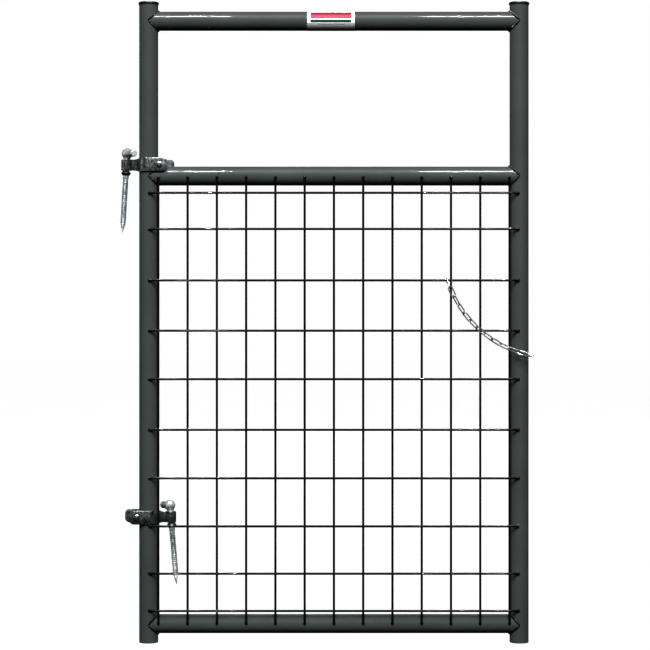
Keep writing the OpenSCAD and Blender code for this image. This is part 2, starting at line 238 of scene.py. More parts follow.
def moulded(name, dark, light, roughness):
    """Moulded black plastic with a fine eroded grain."""
    n = Nodes(name)
    tone = n.ramp(n.noise(60.0, 4.0), [(0.35, dark), (0.7, light)])
    rough = n.ramp(n.noise(500.0, 3.0), [(0.3, roughness), (0.7, roughness + 0.14)])
    n.set(Base_Color=tone, Roughness=rough, Normal=n.bump(n.noise(1400.0, 2.0), 0.00006, 0.6))
    return n.material


def between(n, value, low, high, soft):
    """1 where value lies between low and high, with soft edges."""
    rise = n.math("DIVIDE", n.math("SUBTRACT", value, low), soft)
    fall = n.math("DIVIDE", n.math("SUBTRACT", high, value), soft)
    inside = n.math("MINIMUM", rise, fall)
    clamp = n.new("ShaderNodeClamp")
    n.link(inside, clamp.inputs["Value"])
    return clamp.outputs["Result"]


def label_film():
    """A plain printed film: a red band, a dark green band and a fine grey rule, with no lettering, and its lower
    part grey as painted shade.
    """
    low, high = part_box("label")
    length = high.x - low.x
    radius = (high.z - low.z) / 2
    middle = (high.z + low.z) / 2
    soft = 0.4 * MM
    n = Nodes("label_film")
    split = n.new("ShaderNodeSeparateXYZ")
    n.link(n.place, split.inputs["Vector"])
    x, z = split.outputs["X"], split.outputs["Z"]

    def block(x0, x1, z0, z1):
        """A bar, in shares of the label's length and of the rail's radius above its middle."""
        across = between(n, x, low.x + x0 * length, low.x + x1 * length, soft)
        up = between(n, z, middle + z0 * radius, middle + z1 * radius, soft)
        return n.math("MULTIPLY", across, up)

    film = n.ramp(n.noise(35.0, 4.0), [(0.3, (0.68, 0.69, 0.70)), (0.7, (0.80, 0.81, 0.81))])
    # The film's lower part, turned down round the rail, is made grey: painted shade.
    film = n.mix(block(0.0, 1.0, -1.1, -0.28), film, (0.36, 0.37, 0.37))
    red = n.ramp(n.noise(420.0, 3.0), [(0.3, (0.20, 0.001, 0.022)), (0.7, (0.26, 0.002, 0.034))])
    green = n.ramp(n.noise(420.0, 3.0), [(0.3, (0.018, 0.044, 0.038)), (0.7, (0.034, 0.068, 0.06))])
    left, right = 0.07, 0.93
    film = n.mix(block(left, right, 0.18, 0.86), film, red)
    film = n.mix(block(left, right, -0.26, 0.05), film, green)
    film = n.mix(block(0.22, 0.78, -0.47, -0.40), film, (0.12, 0.13, 0.13))
    n.set(Base_Color=film, Roughness=0.5, Specular_IOR_Level=0.2)
    n.set(Normal=n.bump(n.noise(180.0, 2.0), 0.00008, 0.4))
    return n.material


MATERIALS = {
    "frame_paint": powder_coat(
        "frame_paint", (0.053, 0.060, 0.0575), (0.068, 0.077, 0.074), roughness=0.46, specular=0.07, coat=0.35),
    "mesh_paint": powder_coat(
        "mesh_paint", (0.0012, 0.0016, 0.0015), (0.0026, 0.0032, 0.003), roughness=0.4, specular=0.1, coat=0.5),
    # Weld beads: near-black as painted shade standing in for the dark groove at each rail's joint; the glossy coat
    # is the bead's own.
    "weld_shade_paint": powder_coat(
        "weld_shade_paint", (0.002, 0.003, 0.003), (0.005, 0.006, 0.006), roughness=0.3, specular=0.3, coat=1.0),
    "cap_plastic": moulded("cap_plastic", (0.007, 0.008, 0.008), (0.014, 0.016, 0.015), roughness=0.3),
    "label_film": label_film(),
    "strap_zinc": zinc(
        "strap_zinc", (0.05, 0.056, 0.058), (0.42, 0.45, 0.46),
        roughness=0.3, metal=0.92, spangle=260.0, contrast=0.5, dent=0.0009),
    "hook_zinc": zinc(
        "hook_zinc", (0.50, 0.53, 0.54), (0.84, 0.87, 0.88),
        roughness=0.24, metal=0.66, spangle=300.0, contrast=0.2, dent=0.0003),
    "bolt_zinc": zinc(
        "bolt_zinc", (0.16, 0.165, 0.17), (0.62, 0.63, 0.64),
        roughness=0.18, metal=0.95, spangle=420.0, contrast=0.45, dent=0.0005),
    "retainer_black": moulded("retainer_black", (0.006, 0.007, 0.008), (0.016, 0.018, 0.02), roughness=0.32),
    "chain_zinc": zinc(
        "chain_zinc", (0.11, 0.115, 0.12), (0.44, 0.45, 0.46),
        roughness=0.26, metal=0.6, spangle=700.0, contrast=0.3, dent=0.0002),
}


# ---------------------------------------------------------------- mesh building


class Shape:
    """Vertices and faces being gathered for one piece."""

    def __init__(self):
        self.verts = []
        self.faces = []

    def add(self, verts, faces, place=None):
        start = len(self.verts)
        points = [Vector(v) for v in verts]
        self.verts += [place @ p for p in points] if place else points
        self.faces += [tuple(start + i for i in face) for face in faces]
        return self


def grid_faces(rows, columns, close_rows=False):
    """Quads between rows of points; each row is a closed ring."""
    faces = []
    for i in range(rows if close_rows else rows - 1):
        a, b = i * columns, (i + 1) % rows * columns
        for j in range(columns):
            k = (j + 1) % columns
            faces.append((a + j, a + k, b + k, b + j))
    return faces


def end_faces(rows, columns):
    return [tuple(reversed(range(columns))), tuple(range((rows - 1) * columns, rows * columns))]


def rings_to_shape(rings, closed=False):
    columns = len(rings[0])
    verts = [v for ring in rings for v in ring]
    faces = grid_faces(len(rings), columns, closed)
    if not closed:
        faces += end_faces(len(rings), columns)
    return verts, faces


def sweep(path, radius, sides=20, closed=False):
    """A round bar along a path; radius is one number or one for each point."""
    path = [Vector(p) for p in path]
    count = len(path)
    radii = radius if isinstance(radius, list) else [radius] * count
    tangents = []
    for i in range(count):
        after = path[(i + 1) % count] if closed or i < count - 1 else path[i]
        before = path[i - 1] if closed or i > 0 else path[i]
        tangents.append((after - before).normalized())
    helper = Vector((0, 0, 1)) if abs(tangents[0].z) < 0.9 else Vector((1, 0, 0))
    normal = tangents[0].cross(helper).normalized()
    frames = []
    for tangent in tangents:
        normal = (normal - tangent * normal.dot(tangent)).normalized()
        frames.append((normal.copy(), tangent.cross(normal)))
    if closed:
        frames = untwisted(frames, tangents)
    rings = []
    for point, (u, v), r in zip(path, frames, radii):
        turns = [2 * math.pi * k / sides for k in range(sides)]
        rings.append([point + r * (math.cos(a) * u + math.sin(a) * v) for a in turns])
    return rings_to_shape(rings, closed)


def untwisted(frames, tangents):
    """Turns a closed path's frames a little each, so that the last one meets the first."""
    last, first = frames[-1][0], frames[0][0]
    carried = (last - tangents[0] * last.dot(tangents[0])).normalized()
    angle = math.atan2(carried.cross(first).dot(tangents[0]), carried.dot(first))
    turned = []
    for i, ((u, _), tangent) in enumerate(zip(frames, tangents)):
        normal = Matrix.Rotation(angle * i / len(frames), 3, tangent) @ u
        turned.append((normal, tangent.cross(normal)))
    return turned


def revolve(profile, sides=64, hollow=False):
    """A solid of revolution about Z from (radius, height) points: end to end, or a closed loop if hollow."""
    turns = [2 * math.pi * k / sides for k in range(sides)]
    rings = [[(r * math.cos(a), r * math.sin(a), z) for a in turns] for r, z in profile]
    return rings_to_shape(rings, closed=hollow)


def in_mm(profile):
    """A profile of (radius, height) points in millimetres, turned into metres."""
    return [(r * MM, z * MM) for r, z in profile]


def axis_place(origin, axis, across=(1, 0, 0)):
    """The matrix that puts local Z along axis and local X as near across as it can be."""
    z = Vector(axis).normalized()
    x = Vector(across)
    x = (x - z * x.dot(z)).normalized()
    y = z.cross(x)
    place = Matrix((x, y, z)).transposed().to_4x4()
    place.translation = Vector(origin)
    return place


ZINC_PIECES = bpy.data.collections.new("zinc_pieces")    # what the zinc-only lights reach


def make_piece(name, shape, node, replaces=None, slot=None, sharp=35.0, shiny=True, look=None):
    """Turns a Shape into an object that rides on its CAD node's body.

    look names a material that differs from the slot's own; shiny lets the zinc-only lights reach it.
    """
    mesh = bpy.data.meshes.new(name)
    mesh.from_pydata([tuple(v) for v in shape.verts], [], shape.faces)
    mesh.validate()
    mesh.polygons.foreach_set("use_smooth", [True] * len(mesh.polygons))
    mesh.set_sharp_from_angle(angle=math.radians(sharp))
    slot = slot or SLOT_OF[node]
    mesh.materials.append(MATERIALS[look or slot])
    piece = bpy.data.objects.new(name, mesh)
    bpy.context.scene.collection.objects.link(piece)
    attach(piece, BODY_OF[node])
    if shiny and slot.endswith("_zinc"):
        ZINC_PIECES.objects.link(piece)
    if replaces:
        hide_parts(*replaces)
    return piece


def blob(centre, radii, seed, rough=0.18, rows=8, columns=12):
    """A small lumpy ball of weld metal."""
    rings = []
    for i in range(1, rows):
        polar = math.pi * i / rows
        ring = []
        for j in range(columns):
            turn = 2 * math.pi * j / columns
            d = Vector((math.sin(polar) * math.cos(turn), math.sin(polar) * math.sin(turn), math.cos(polar)))
            lump = 1 + rough * noise.noise(d * 1.7 + Vector((seed, seed * 0.37, 0)))
            ring.append(Vector(centre) + lump * Vector((d.x * radii[0], d.y * radii[1], d.z * radii[2])))
        rings.append(ring)
    verts = [v for ring in rings for v in ring]
    faces = grid_faces(len(rings), columns)
    top, bottom = len(verts), len(verts) + 1
    verts += [Vector(centre) + Vector((0, 0, radii[2])), Vector(centre) - Vector((0, 0, radii[2]))]
    last = (len(rings) - 1) * columns
    for j in range(columns):
        k = (j + 1) % columns
        faces.append((k, j, top))
        faces.append((last + j, last + k, bottom))
    return verts, [tuple(reversed(f)) for f in faces]


# ---------------------------------------------------------------- frame

TUBE_SIDES = 112


TUBE_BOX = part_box("hinge_stile")
TUBE_R = (TUBE_BOX[1].x - TUBE_BOX[0].x) / 2
TUBE_WALL = 1.6 * MM


def stile_x(node):
    low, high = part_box(node)
    return (low.x + high.x) / 2


STILES = {node: stile_x(node) for node in ("hinge_stile", "latch_stile")}


def build_stile(node):
    """An open tube, with its cut foot eased."""
    low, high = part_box(node)
    ease = 0.5 * MM
    foot = low.z + 0.12
    inner = TUBE_R - TUBE_WALL
    profile = [
        (inner, high.z), (inner, foot), (inner, low.z + ease), (inner + ease * 0.4, low.z),
        (TUBE_R - ease, low.z), (TUBE_R, low.z + ease), (TUBE_R, foot), (TUBE_R, high.z),
    ]
    shape = Shape()
    shape.add(*revolve(profile, TUBE_SIDES, hollow=True), Matrix.Translation((STILES[node], 0, 0)))
    make_piece(f"{node}_tube", shape, node, [node])


def saddle(turn):
    """How far the joint line between a rail and a stile lies from the stile's axis."""
    return TUBE_R * abs(math.cos(turn))


def build_rail(node):
    """A tube whose ends are cut to the stiles' round faces, with a rippled weld bead round each end, near-black as
    painted shade of the joint's groove.
    """
    low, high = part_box(node)
    z = (low.z + high.z) / 2
    x0, x1 = STILES["hinge_stile"], STILES["latch_stile"]
    turns = [2 * math.pi * k / TUBE_SIDES for k in range(TUBE_SIDES)]
    insets = (0.0, 0.004, 0.03, 0.1)
    rings = []
    for x, side, steps in ((x0, 1, insets), (x1, -1, insets[::-1])):
        for inset in steps:
            rings.append([
                (x + side * (saddle(t) + inset), TUBE_R * math.sin(t), z + TUBE_R * math.cos(t)) for t in turns
            ])
    shape = Shape()
    shape.add(*rings_to_shape(rings))
    make_piece(f"{node}_tube", shape, node, [node])
    welds = Shape()
    for x, side in ((x0, 1), (x1, -1)):
        for half in (0, 1):
            welds.add(*weld_bead(x, side, z, half))
    # The beads wear near-black painted shade for the joint's groove.
    make_piece(f"{node}_welds", welds, node, look="weld_shade_paint")


WELD_R = 3.3 * MM
WELD_RIPPLE = 4.8 * MM
WELD_STEPS = 260


def weld_bead(x, side, z, half):
    """Half of the rippled bead round a rail's end: over the top, or under the bottom."""
    path, radii = [], []
    length = 0.0
    for k in range(WELD_STEPS + 1):
        turn = math.pi * (k / WELD_STEPS - 0.5 + half)
        wander = 0.25 * MM * noise.noise(Vector((turn * 9, z * 40, x * 5)))
        out = TUBE_R + 0.2 * MM + wander
        reach = saddle(turn) + 0.6 * MM
        point = Vector((x + side * reach, out * math.sin(turn), z + out * math.cos(turn)))
        if path:
            length += (point - path[-1]).length
        scallop = abs(math.sin(math.pi * length / WELD_RIPPLE))
        lump = 0.12 * noise.noise(Vector((length * 180, z * 7, half + x)))
        fade = min(1.0, 0.55 + 6 * min(k, WELD_STEPS - k) / WELD_STEPS)
        radii.append(WELD_R * fade * (0.70 + 0.34 * scallop ** 0.7 + lump))
        path.append(point)
    return sweep(path, radii, 14)


def build_cap(node):
    """A push-in plastic cap with rounded shoulders."""
    low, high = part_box(node)
    radius = (high.x - low.x) / 2
    under = TUBE_BOX[1].z + 0.05 * MM
    round_low, round_top = 1.5 * MM, 2.6 * MM
    stem = TUBE_R - TUBE_WALL - 0.1 * MM
    profile = [(0.0001, low.z), (stem, low.z), (stem, under)]
    for k in range(9):
        a = math.pi / 2 * k / 8
        profile.append((radius - round_low + round_low * math.sin(a),
                        under + round_low - round_low * math.cos(a)))
    for k in range(13):
        a = math.pi / 2 * k / 12
        profile.append((radius - round_top + round_top * math.cos(a),
                        high.z - round_top + round_top * math.sin(a)))
    profile += [(radius * 0.55, high.z), (0.0001, high.z)]
    shape = Shape()
    shape.add(*revolve(profile, 96), Matrix.Translation(((low.x + high.x) / 2, 0, 0)))
    make_piece(f"{node}_moulding", shape, node, [node])


# ---------------------------------------------------------------- mesh wires


def numbered(prefix):
    return sorted(node for node in BODY_OF if node.startswith(prefix))


BAR_NODES = numbered("mesh_bar_")
ROW_NODES = numbered("mesh_row_")
WIRE_SIDES = 20
WIRE_EASE = 0.9 * MM        # length of the narrowed tip of a wire
WIRE_TIP = 0.72             # radius of the tip, as a share of the wire's
WELD_IN = 1.2 * MM          # from a wire's tip to the middle of its weld


def wire_centre(node):
    low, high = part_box(node)
    return (low + high) / 2


def build_bar(node, seed):
    """A vertical wire with a weld at each end, on the fronts of the rails."""
    low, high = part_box(node)
    x, y, r = (low.x + high.x) / 2, (low.y + high.y) / 2, (high.x - low.x) / 2
    heights = [low.z, low.z + WIRE_EASE, low.z + 0.3, (low.z + high.z) / 2,
               high.z - 0.3, high.z - WIRE_EASE, high.z]
    radii = [r * WIRE_TIP, r, r, r, r, r, r * WIRE_TIP]
    shape = Shape()
    shape.add(*sweep([(x, y, h) for h in heights], radii, WIRE_SIDES))
    for k, z in enumerate((low.z + WELD_IN, high.z - WELD_IN)):
        shape.add(*blob((x, y + 0.9 * MM, z), (4.1 * MM, 2.6 * MM, 4.3 * MM), seed + k * 3.1))
    for k, row in enumerate(ROW_NODES):
        place = (x, y - r, wire_centre(row).z)
        shape.add(*blob(place, (2.7 * MM, 1.7 * MM, 2.7 * MM), seed + 0.7 * k + 11, 0.1, 6, 10))
    make_piece(f"{node}_wire", shape, node, [node])


def smooth_step(t):
    t = min(1.0, max(0.0, t))
    return t * t * (3 - 2 * t)


def build_row(node, seed):
    """A horizontal wire that steps from the stiles' fronts out over the vertical wires, with its end welds."""
    low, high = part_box(node)
    z, r = (low.z + high.z) / 2, (high.z - low.z) / 2
    front, back = low.y + r, high.y - r
    step_start, step_end = 7 * MM, 23 * MM
    step = step_end - step_start
    stations = [WIRE_EASE] + [step_start + step * k / 10 for k in range(11)] + [0.2, 0.4]
    hinge_x, latch_x = STILES["hinge_stile"], STILES["latch_stile"]
    path, radii = [(low.x, back, z)], [r * WIRE_TIP]
    for s in stations:
        depth = back + (front - back) * smooth_step((s - step_start) / step)
        path.append((max(low.x, hinge_x) + s if s == WIRE_EASE else hinge_x + s, depth, z))
        radii.append(r)
    mirrored = [(hinge_x + latch_x - x, y, h) for x, y, h in reversed(path)]
    shape = Shape()
    shape.add(*sweep(path + mirrored, radii + radii[::-1], WIRE_SIDES))
    for k, x in enumerate((low.x + WELD_IN, high.x - WELD_IN)):
        shape.add(*blob((x, back + 0.9 * MM, z), (4.5 * MM, 2.7 * MM, 4.1 * MM), seed + k * 2.3))
    make_piece(f"{node}_wire", shape, node, [node])


# ---------------------------------------------------------------- hinge straps


def arc(centre, radius, start, end, step=5.0):
    """Points in plan along an arc, in degrees, without its first point."""
    count = max(2, int(abs(end - start) / step))
    turns = [math.radians(start + (end - start) * k / count) for k in range(1, count + 1)]
    return [(centre[0] + radius * math.cos(a), centre[1] + radius * math.sin(a)) for a in turns]


def line(start, end, count):
    """Points along a straight line, without its first point."""
    return [
        (start[0] + (end[0] - start[0]) * k / count, start[1] + (end[1] - start[1]) * k / count)
        for k in range(1, count + 1)
    ]


# The strap in its own frame, in millimetres: loop on -X, ears on +X, front on -Y
STRAP_T = 4.0
STRAP_CLASP = 27.7          # radius of the strip's middle line round the stile
STRAP_LOOP = 12.0           # radius of the strip's middle line round the hook
STRAP_REACH = 60.0
STRAP_WEB = 2.3             # half the distance between the two thicknesses in the web
STRAP_H = 36.5
STRAP_LOOP_H = 29.0
STRAP_CORNER = 13.0
STRAP_FRONT = 50.0
STRAP_REAR = 58.0
STRAP_WIDEN_START = -37.7   # where the web's height starts to grow to the clasp's
STRAP_WIDEN_RUN = 18.0


def strap_path():
    """The strip's middle line in plan, from the rear ear's curled end, round the hook, to the front ear's end."""
    curl, shoulder, throat = 9.0, 8.0, 4.0
    shoulder_c = (-math.sqrt((STRAP_CLASP + shoulder) ** 2 - (STRAP_WEB + shoulder) ** 2),
                  STRAP_WEB + shoulder)
    throat_c = (-STRAP_REACH + math.sqrt((STRAP_LOOP + throat) ** 2 - (STRAP_WEB + throat) ** 2),
                STRAP_WEB + throat)
    meet = math.degrees(math.atan2(shoulder_c[1], -shoulder_c[0]))
    open_angle = math.degrees(math.atan2(throat_c[1], throat_c[0] + STRAP_REACH))
    rear = arc((STRAP_REAR, STRAP_CLASP + curl), curl, -35, -90, 4)
    rear += line((STRAP_REAR, STRAP_CLASP), (0, STRAP_CLASP), 24)
    half = arc((0, 0), STRAP_CLASP, 90, 180 - meet, 4)
    half += arc(shoulder_c, shoulder, -meet, -90, 6)
    half += line((shoulder_c[0], STRAP_WEB), (throat_c[0], STRAP_WEB), 8)
    half += arc(throat_c, throat, -90, open_angle - 180, 8)
    loop = arc((-STRAP_REACH, 0), STRAP_LOOP, open_angle, 360 - open_angle, 5)
    back = [(x, -y) for x, y in reversed(half[:-1])]
    front = line((0, -STRAP_CLASP), (STRAP_FRONT, -STRAP_CLASP), 40)
    return rear + half + loop + back + front


def strip_height(x, from_start, to_end):
    """The strip's height: low at the loop, full at the clasp, and rounded at the ears' corners."""
    widen = (x - STRAP_WIDEN_START) / STRAP_WIDEN_RUN
    height = STRAP_LOOP_H + (STRAP_H - STRAP_LOOP_H) * min(1.0, max(0.0, widen))
    end = min(from_start, to_end)
    if end < STRAP_CORNER:
        height -= 2 * (STRAP_CORNER - math.sqrt(STRAP_CORNER ** 2 - (STRAP_CORNER - end) ** 2))
    return height


def resample(points, spacing):
    """Points at most spacing apart along the same line."""
    out = [points[0]]
    for a, b in zip(points, points[1:]):
        count = max(1, int(math.dist(a, b) / spacing + 0.999))
        out += line(a, b, count)
    return out


def strip_section(height, edge=0.9, steps=3):
    """Rounded rectangle (across thickness, up) of the strip."""
    points = []
    half_t, half_h = STRAP_T / 2, height / 2
    for sx, sy, start in ((1, 1, 0), (-1, 1, 90), (-1, -1, 180), (1, -1, 270)):
        for k in range(steps + 1):
            a = math.radians(start + 90 * k / steps)
            points.append((sx * (half_t - edge) + edge * math.cos(a),
                           sy * (half_h - edge) + edge * math.sin(a)))
    return points


def strap_shape():
    """The strip swept along its path, with its height following the ears, the clasp and the loop."""
    path = resample(strap_path(), 1.6)
    end_gap = 0.35          # keeps the end rings from closing to nothing
    lengths = [0.0]
    for a, b in zip(path, path[1:]):
        lengths.append(lengths[-1] + math.dist(a, b))
    total = lengths[-1]
    rings = []
    for i, (x, y) in enumerate(path):
        a, b = path[max(i - 1, 0)], path[min(i + 1, len(path) - 1)]
        tangent = Vector((b[0] - a[0], b[1] - a[1])).normalized()
        normal = Vector((tangent.y, -tangent.x))
        section = strip_section(strip_height(x, lengths[i] + end_gap, total - lengths[i] + end_gap))
        rings.append([((x + normal.x * u) * MM, (y + normal.y * u) * MM, v * MM) for u, v in section])
    return rings_to_shape([ring[::-1] for ring in rings])


def strap_place(which):
    """The strap's own frame in the gate: the lower strap is turned over."""
    low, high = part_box(f"{which}_strap")
    middle = Matrix.Translation((STILES["hinge_stile"], 0, (low.z + high.z) / 2))
    return middle if which == "upper" else middle @ Matrix.Rotation(math.pi, 4, "Y")


def thread(z0, z1, root, crest, pitch, sides=48, step=0.35, point=0.0, share=0.56):
    """A screw thread about Z from z0 down to z1, in millimetres.

    point is the length of its cone, and share is how much of the pitch a ridge takes.
    """
    rows = int((z0 - z1) / step)
    rings = []
    for i in range(rows + 1):
        z = z0 - (z0 - z1) * i / rows
        taper = 1.0 if point == 0 else min(1.0, max(0.02, (z - z1) / point))
        run_out = smooth_step((z0 - z) / pitch)
        ring = []
        for k in range(sides):
            phase = (z / pitch + k / sides) % 1.0
            ridge = max(0.0, 1 - abs(phase - 0.5) / (share / 2)) * run_out
            r = (root + (crest - root) * min(1.0, ridge * 1.6)) * taper
            a = 2 * math.pi * k / sides
            ring.append((r * math.cos(a) * MM, r * math.sin(a) * MM, z * MM))
        rings.append(ring)
    return rings_to_shape([ring[::-1] for ring in rings])


def build_bolt(which):
    """Carriage bolt: domed head with an eased rim, and a threaded tail."""
    node = f"{which}_clamp_bolt"
    low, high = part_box(node)
    head_r = (high.z - low.z) / 2 / MM
    length = (high.y - low.y) / MM
    bolt_r, root_r, pitch, thread_l = 3.97, 3.2, 1.41, 22
    profile = [(0.001, -0.1), (head_r - 0.5, -0.1), (head_r, 0.35), (head_r - 0.05, 0.8)]
    dome, head_h = head_r - 0.5, 4.6
    for k in range(1, 15):
        a = math.pi / 2 * k / 14
        profile.append((max(0.001, dome * math.cos(a)), 0.9 + (head_h - 0.9) * math.sin(a)))
    shape = Shape()
    face = Matrix.Translation(((low.x + high.x) / 2, low.y + head_h * MM, (low.z + high.z) / 2))
    place = face @ Matrix.Rotation(math.pi / 2, 4, "X")
    shape.add(*revolve(in_mm(profile), 56), place)
    tip = head_h - length
    plain_end = tip + thread_l
    shank = [
        (0.001, plain_end - 1), (bolt_r - 0.5, plain_end - 1), (bolt_r, plain_end), (bolt_r, 0.5), (0.001, 0.5),
    ]
    shape.add(*revolve(in_mm(shank), 32), place)
    shape.add(*thread(plain_end, tip, root_r, bolt_r, pitch, 28, 0.2), place)
    make_piece(f"{node}_steel", shape, node, [node])


def build_nut(which):
    """Hex nut with chamfered corners on both faces."""
    node = f"{which}_clamp_nut"
    low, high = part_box(node)
    flats = (high.x - low.x) / MM
    corner = (high.z - low.z) / MM
    apothem = min(flats, corner) / 2
    height = (high.y - low.y) / MM
    bore, sides = 4.02, 72
    rings = []
    levels = [0.0, 0.25, 0.6, 1.0, height - 1.0, height - 0.6, height - 0.25, height]
    for z in levels:
        from_face = min(z, height - z)
        cone = apothem - 0.2 + from_face * 1.75
        ring = []
        for k in range(sides):
            a = 2 * math.pi * k / sides
            turned = a if corner > flats else a + math.pi / 6
            flat = (turned % (math.pi / 3)) - math.pi / 6
            r = min(apothem / math.cos(flat), cone)
            ring.append((r * math.cos(a) * MM, r * math.sin(a) * MM, z * MM))
        rings.append(ring)
    turns = [2 * math.pi * k / sides for k in range(sides)]
    for z in (height - 0.4, 0.4):
        rings.append([(bore * math.cos(a) * MM, bore * math.sin(a) * MM, z * MM) for a in turns])
    shape = Shape()
    place = Matrix.Translation(((low.x + high.x) / 2, low.y, (low.z + high.z) / 2))
    place = place @ Matrix.Rotation(-math.pi / 2, 4, "X")
    shape.add(*rings_to_shape(rings, closed=True), place)
    make_piece(f"{node}_steel", shape, node, [node], sharp=28.0)


def build_washer(which):
    """A split spring washer with sprung ends."""
    node = f"{which}_lock_washer"
    low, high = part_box(node)
    outer = (high.z - low.z) / 2
    inner = 4.12 * MM
    thick = high.y - low.y
    middle = (low + high) / 2
    spring = 0.3 * MM       # how far the two ends stand apart
    half = (thick - spring) / 2
    corners = [(inner, -half), (inner + 0.2 * MM, -half), (outer, -half), (outer, half), (inner, half)]
    split, count = 8, 60
    rings = []
    for k in range(count + 1):
        a = math.radians(split / 2 + (360 - split) * k / count)
        y = middle.y + (k / count - 0.5) * spring
        rings.append([(middle.x + r * math.cos(a), y + d, middle.z + r * math.sin(a)) for r, d in corners])
    shape = Shape()
    shape.add(*rings_to_shape(rings))
    make_piece(f"{node}_steel", shape, node, [node])


def build_strap(which):
    shape = Shape()
    shape.add(*strap_shape(), strap_place(which))
    make_piece(f"{which}_strap_steel", shape, f"{which}_strap", [f"{which}_strap"], sharp=50.0)


# ---------------------------------------------------------------- hinge hooks

# The hook along its own axis, in millimetres, from the loop's middle
HOOK_ELBOW = 31.5
HOOK_SHANK_R = 7.94
HOOK_SCREW_R = 7.85
HOOK_ROOT_R = 6.3
HOOK_SHANK_DOWN = -28.8
HOOK_TIP = -184.0
HOOK_POINT = 27.5
HOOK_PITCH = 5.08
HOOK_PIN_R = 9.5
HOOK_PIN_L = 38.0
HOOK_BALL_R = 14.5
HOOK_PIN_ANGLE = {"upper": -55.0, "lower": 125.0}


def forged_head():
    """The hook's elbow and pin, blended as a forging: solids merged by a fine remesh, then smoothed."""
    raw = Shape()
    ball = []
    for k in range(25):
        a = math.pi * (k / 24 - 0.5)
        ball.append((max(0.001, HOOK_BALL_R * math.cos(a)), HOOK_ELBOW + HOOK_BALL_R * math.sin(a)))
    raw.add(*revolve(ball, 48))
    neck = [(0.001, 2.0), (HOOK_SHANK_R, 2.0), (HOOK_SHANK_R, 14.0), (HOOK_SHANK_R + 2.6, 21.0),
            (HOOK_SHANK_R + 2.6, HOOK_ELBOW), (0.001, HOOK_ELBOW)]
    raw.add(*revolve(neck, 48))
    round_end = 1.8
    pin = [(0.001, 0.0), (HOOK_PIN_R + 3.9, 0.0), (HOOK_PIN_R + 3.4, 8.0), (HOOK_PIN_R + 1.9, 14.0),
           (HOOK_PIN_R + 0.4, 21.0), (HOOK_PIN_R, 26.0), (HOOK_PIN_R, HOOK_PIN_L - round_end)]
    for k in range(1, 7):
        a = math.pi / 2 * k / 6
        pin.append((HOOK_PIN_R - round_end + round_end * math.cos(a),
                    HOOK_PIN_L - round_end + round_end * math.sin(a)))
    pin.append((0.001, HOOK_PIN_L))
    raw.add(*revolve(pin, 48), axis_place((0, 0, HOOK_ELBOW), (1, 0, 0), (0, 1, 0)))
    mesh = bpy.data.meshes.new("forging")
    mesh.from_pydata([tuple(v) for v in raw.verts], [], raw.faces)
    forging = bpy.data.objects.new("forging", mesh)
    bpy.context.scene.collection.objects.link(forging)
    remesh = forging.modifiers.new("merge", "REMESH")
    remesh.mode = "VOXEL"
    remesh.voxel_size = 0.62
    soften = forging.modifiers.new("soften", "SMOOTH")
    soften.factor = 0.5
    soften.iterations = 6
    graph = bpy.context.evaluated_depsgraph_get()
    done = forging.evaluated_get(graph).to_mesh()
    verts = [tuple(v.co * MM) for v in done.vertices]
    faces = [tuple(p.vertices) for p in done.polygons]
    forging.evaluated_get(graph).to_mesh_clear()
    bpy.data.objects.remove(forging)
    bpy.data.meshes.remove(mesh)
    return verts, faces


FORGING = forged_head()


def hook_place(which):
    joint = JOINTS[f"{which}_hook_turn"]
    return axis_place(joint["pos_m"], joint["axis"])


def build_hook(which):
    """Screw hook: a forged head on a plain shank, then a wood-screw thread down to a sharp point, whose grooves
    hold a dark core as painted shade.
    """
    node = f"{which}_hook"
    shape = Shape()
    place = hook_place(which)
    turn = Matrix.Rotation(math.radians(HOOK_PIN_ANGLE[which]), 4, "Z")
    shape.add(*FORGING, place @ turn)
    shank = [
        (0.001, HOOK_SHANK_DOWN - 9), (HOOK_SCREW_R - 0.6, HOOK_SHANK_DOWN - 9),
        (HOOK_SCREW_R, HOOK_SHANK_DOWN - 8), (HOOK_SCREW_R, HOOK_SHANK_DOWN - 0.3),
        (HOOK_SHANK_R, HOOK_SHANK_DOWN), (HOOK_SHANK_R, 6.0), (0.001, 6.0),
    ]
    shape.add(*revolve(in_mm(shank), 56), place)
    shape.add(*thread(HOOK_SHANK_DOWN - 7, HOOK_TIP, HOOK_ROOT_R, HOOK_SCREW_R, HOOK_PITCH,
                      point=HOOK_POINT), place)
    make_piece(f"{node}_steel", shape, node, [node], sharp=60.0)
    # A dark cylinder just over the thread's root, so that only the ridges stand out bright: painted shade in the
    # thread's grooves, kept from the zinc-only lights.
    shade_core = Shape()
    shade_r = HOOK_ROOT_R + 0.45
    shade_end = HOOK_TIP + HOOK_POINT
    shade_top = HOOK_SHANK_DOWN - 12
    profile = [(0.001, shade_end), (shade_r, shade_end), (shade_r, shade_top), (0.001, shade_top)]
    shade_core.add(*revolve(in_mm(profile), 48), place)
    make_piece(f"{node}_thread_painted_shade", shade_core, node, slot="strap_zinc", shiny=False)


def build_retainer(which):
    """The push-on collar under the loop: two shallow cones back to back, with eased lips."""
    node = f"{which}_retainer"
    middle, half, rim = -22.3, 6.0, 13.0
    bore, lip = HOOK_SHANK_R + 0.04, HOOK_SHANK_R + 1.24
    profile = [
        (bore, middle + half), (bore, middle - half), (lip - 0.4, middle - half), (lip, middle - half + 0.3),
        (rim - 0.5, middle - 1.1), (rim, middle - 0.5), (rim, middle + 0.5), (rim - 0.5, middle + 1.1),
        (lip, middle + half - 0.3), (lip - 0.4, middle + half),
    ]
    shape = Shape()
    shape.add(*revolve(in_mm(profile), hollow=True), hook_place(which))
    make_piece(f"{node}_moulding", shape, node, [node])


# ---------------------------------------------------------------- latch chain

LINK_WIRE_R = 1.7 * MM
LINK_BEND_R = 5.8 * MM
LINK_STRAIGHT = 18.3 * MM


